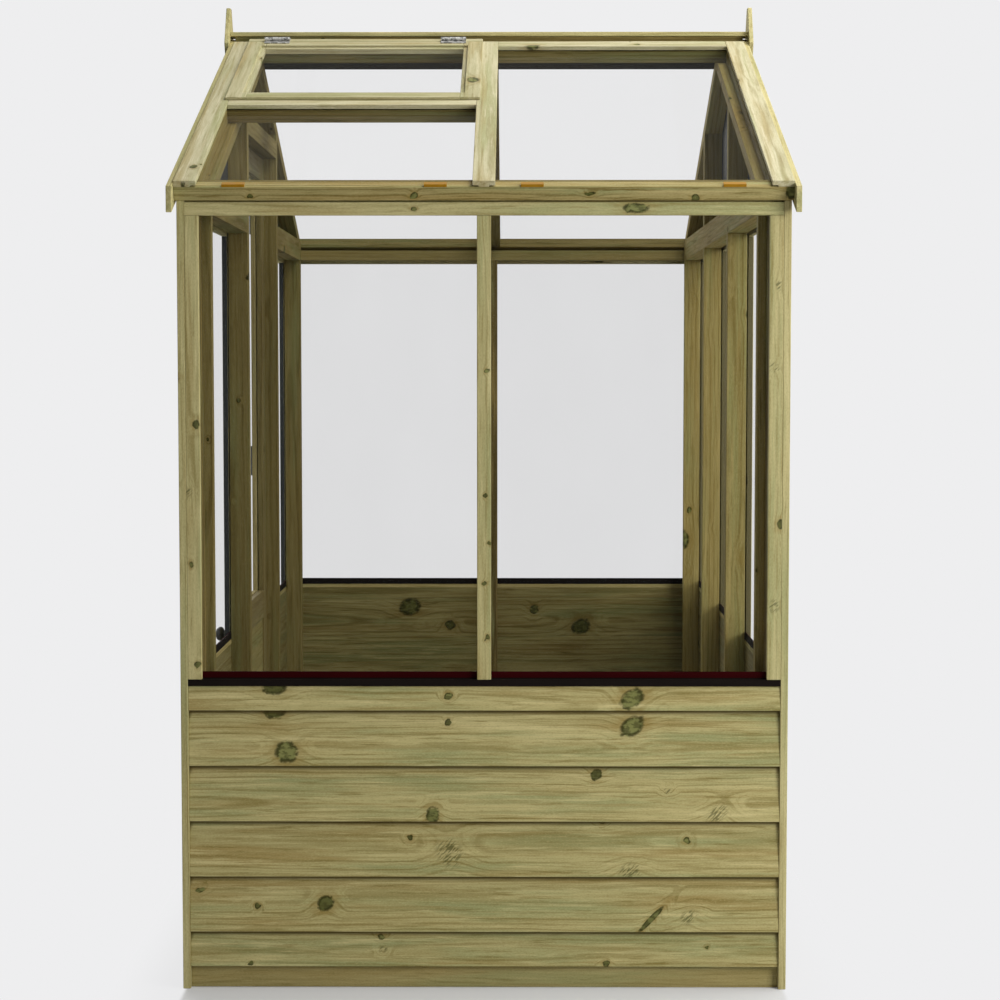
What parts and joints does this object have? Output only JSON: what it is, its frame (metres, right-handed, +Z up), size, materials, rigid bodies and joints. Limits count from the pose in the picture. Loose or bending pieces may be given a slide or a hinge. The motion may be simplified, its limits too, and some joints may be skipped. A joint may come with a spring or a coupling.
{
  "type": "wooden greenhouse",
  "caption": "Small gable-roofed timber greenhouse with lapped boards below the sill, glass walls and roof, a hinged door in one gable and a hinged roof vent.",
  "frame": {"origin": "on the ground, under the middle of the house", "axes": "+Z up; +X along the ridge, away from the door gable; +Y from the wall below the vent to the other side wall"},
  "size_m": [1.2735, 2.0282, 2.1261],
  "materials": {
    "frame_wood": "planed pressure-treated softwood, green-brown, in shade",
    "board_wood": "sawn pressure-treated softwood boards with knots",
    "cover_wood": "planed pressure-treated softwood, pale green-yellow",
    "glass": "clear horticultural glass",
    "black_seal": "matt black plastic strip with a maroon upstand",
    "liner": "matt charcoal sheet",
    "galvanised_steel": "mottled zinc coating",
    "black_metal": "satin black coating",
    "orange_plastic": "smooth moulded plastic"
  },
  "bodies": {
    "house": {"front_bottom_rail": "frame_wood", "front_posts": "frame_wood", "front_sill_rail": "frame_wood", "front_top_plate": "frame_wood", "front_cladding": "board_wood", "front_flashing": "black_seal", "front_covers": "cover_wood", "front_panes": "glass", "back_bottom_rail": "frame_wood", "back_posts": "frame_wood", "back_sill_rail": "frame_wood", "back_top_plate": "frame_wood", "back_cladding": "board_wood", "back_flashing": "black_seal", "back_covers": "cover_wood", "back_panes": "glass", "door_gable_posts": "frame_wood", "door_gable_rails": "frame_wood", "door_header": "frame_wood", "door_gable_chords": "frame_wood", "door_gable_cladding": "board_wood", "door_gable_covers": "cover_wood", "door_gable_panes": "glass", "door_gable_infill": "liner", "door_gable_apex_boards": "board_wood", "end_gable_posts": "frame_wood", "end_gable_rails": "frame_wood", "end_gable_chords": "frame_wood", "end_gable_cladding": "board_wood", "end_gable_covers": "cover_wood", "end_gable_panes": "glass", "end_gable_infill": "liner", "end_gable_apex_boards": "board_wood", "gable_flashings": "black_seal", "corner_strips": "cover_wood", "front_roof_rails": "frame_wood", "front_roof_rafters": "frame_wood", "front_roof_covers": "cover_wood", "front_roof_panes": "glass", "back_roof_rails": "frame_wood", "back_roof_rafters": "frame_wood", "back_roof_covers": "cover_wood", "back_roof_panes": "glass", "glass_stops": "orange_plastic", "ridge_board": "frame_wood", "ridge_cap": "cover_wood", "bargeboards": "cover_wood", "finials": "cover_wood", "vent_hinge_strip": "cover_wood", "vent_hinge_fixed": "galvanised_steel", "door_hinge_fixed": "black_metal"},
    "vent": {"vent_sash": "cover_wood", "vent_pane": "glass", "vent_hinge_moving": "galvanised_steel"},
    "door": {"door_frame": "frame_wood", "door_boards": "board_wood", "door_pane": "glass", "door_hinge_moving": "black_metal", "door_knob": "black_metal"},
    "turn_button": {"door_turn_button": "black_metal"}
  },
  "joints": [
    {"name": "vent_hinge", "type": "hinge", "parent": "house", "child": "vent", "pos_m": [-0.3, -0.05831, 2.04443], "axis": [-1, 0, 0], "range_deg": [0, 55]},
    {"name": "door_hinge", "type": "hinge", "parent": "house", "child": "door", "pos_m": [-0.6153, 0.2865, 0.9], "axis": [0, 0, -1], "range_deg": [0, 110]},
    {"name": "turn_button_pivot", "type": "hinge", "parent": "house", "child": "turn_button", "pos_m": [-0.61, -0.295, 0.56], "axis": [-1, 0, 0], "range_deg": [0, 90]}
  ]
}
